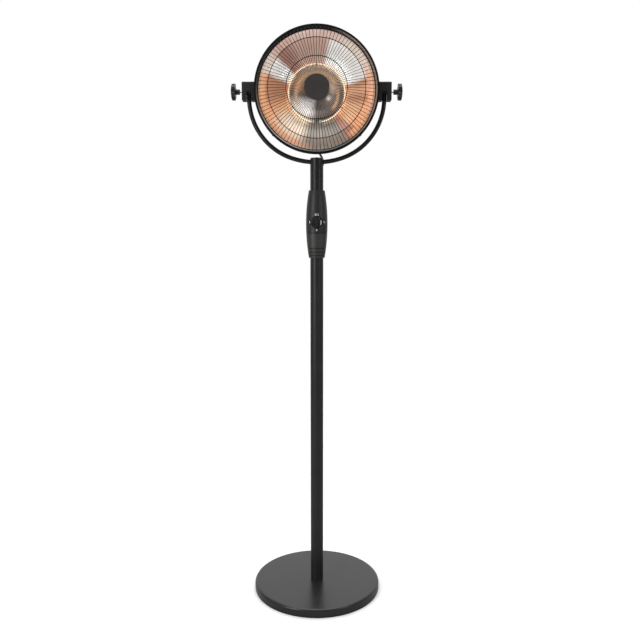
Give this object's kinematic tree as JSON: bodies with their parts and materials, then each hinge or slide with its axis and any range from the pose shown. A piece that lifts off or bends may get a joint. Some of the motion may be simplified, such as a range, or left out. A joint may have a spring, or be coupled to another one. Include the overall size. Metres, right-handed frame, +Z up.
{
  "type": "infrared patio heater tower",
  "caption": "Free-standing infrared heater: round wire-grilled head tilting in a U-shaped yoke on a slim mast with a rotary switch housing and a weighted round base.",
  "frame": {"origin": "centre of the base's underside, on the mast's axis, at floor level", "axes": "+Z up along the mast; -Y is the front, where the grille and the rotary switch look; X runs along the head's tilt axis"},
  "size_m": [0.615, 0.48, 2.0915],
  "materials": {
    "black_paint": "satin powder coat, nearly black",
    "wire_paint": "semi-gloss heat-proof black enamel",
    "housing_plastic": "fine grained dark grey moulding",
    "dial_plastic": "polished black, white printed marks",
    "knob_plastic": "smooth black moulding",
    "pivot_block_paint": "satin black coated casting",
    "cast_weight": "cast concrete",
    "foot_iron": "rough cast",
    "steel": "zinc plated",
    "dark_screws": "blackened steel screws",
    "reflector_aluminium": "spun and polished",
    "quartz": "clear fused quartz",
    "filament": "glowing heating wire",
    "ceramic": "unglazed white",
    "brass": "turned",
    "rubber": "matte",
    "cable_rubber": "smooth sheath",
    "inner_plastic": "heat-proof moulding",
    "washer_fibre": "pressed fibre"
  },
  "bodies": {
    "stand": {"base_rubber_ring": "rubber", "base_weight": "cast_weight", "base_cover": "black_paint", "mast_foot": "foot_iron", "base_bolts": "steel", "lower_tube": "black_paint", "upper_tube": "black_paint", "inner_sleeve": "steel", "mast_screws": "dark_screws", "mains_gland": "knob_plastic", "grip_collar": "housing_plastic", "control_housing_front": "housing_plastic", "control_housing_rear": "housing_plastic", "housing_screws": "dark_screws", "dial_bezel": "dial_plastic", "rotary_switch": "inner_plastic", "terminal_block": "inner_plastic", "tip_over_switch": "inner_plastic", "yoke": "black_paint", "yoke_saddle": "inner_plastic", "mast_top_cap": "knob_plastic", "yoke_bolt": "dark_screws", "yoke_nut": "steel", "cable_boot": "cable_rubber", "head_cable": "cable_rubber"},
    "head": {"head_shell": "black_paint", "rim_ring": "black_paint", "rim_screws": "dark_screws", "reflector": "reflector_aluminium", "lamp_quartz_tube": "quartz", "lamp_filament": "filament", "lamp_ceramics": "ceramic", "lamp_clips": "steel", "heat_shield": "steel", "shield_standoffs": "steel", "grille_wires": "wire_paint", "grille_rings": "wire_paint", "grille_hub_plate": "wire_paint", "centre_cap": "wire_paint", "centre_screw": "steel", "connection_box": "black_paint", "connection_box_cover": "black_paint", "cover_screws": "dark_screws", "box_screws": "steel", "head_terminal_block": "inner_plastic", "thermal_cutout": "inner_plastic", "head_cable_gland": "knob_plastic", "pivot_block_right": "pivot_block_paint", "pivot_block_left": "pivot_block_paint", "pivot_inserts": "brass", "friction_washers": "washer_fibre", "block_screws": "steel"},
    "dial": {"dial_knob": "dial_plastic", "dial_shaft": "steel"},
    "knob_right": {"tilt_knob_right": "knob_plastic", "tilt_stud_right": "steel"},
    "knob_left": {"tilt_knob_left": "knob_plastic", "tilt_stud_left": "steel"}
  },
  "joints": [
    {"name": "head_tilt", "type": "hinge", "parent": "stand", "child": "head", "pos_m": [0, 0, 1.87], "axis": [1, 0, 0], "range_deg": [-30, 45], "deforming": ["head_cable"]},
    {"name": "dial_turn", "type": "hinge", "parent": "stand", "child": "dial", "pos_m": [0, -0.035, 1.408], "axis": [0, 1, 0], "range_deg": [-180, 90]},
    {"name": "knob_right_turn", "type": "hinge", "parent": "head", "child": "knob_right", "pos_m": [0.3, 0, 1.87], "axis": [1, 0, 0], "continuous": true},
    {"name": "knob_left_turn", "type": "hinge", "parent": "head", "child": "knob_left", "pos_m": [-0.3, 0, 1.87], "axis": [1, 0, 0], "continuous": true}
  ]
}
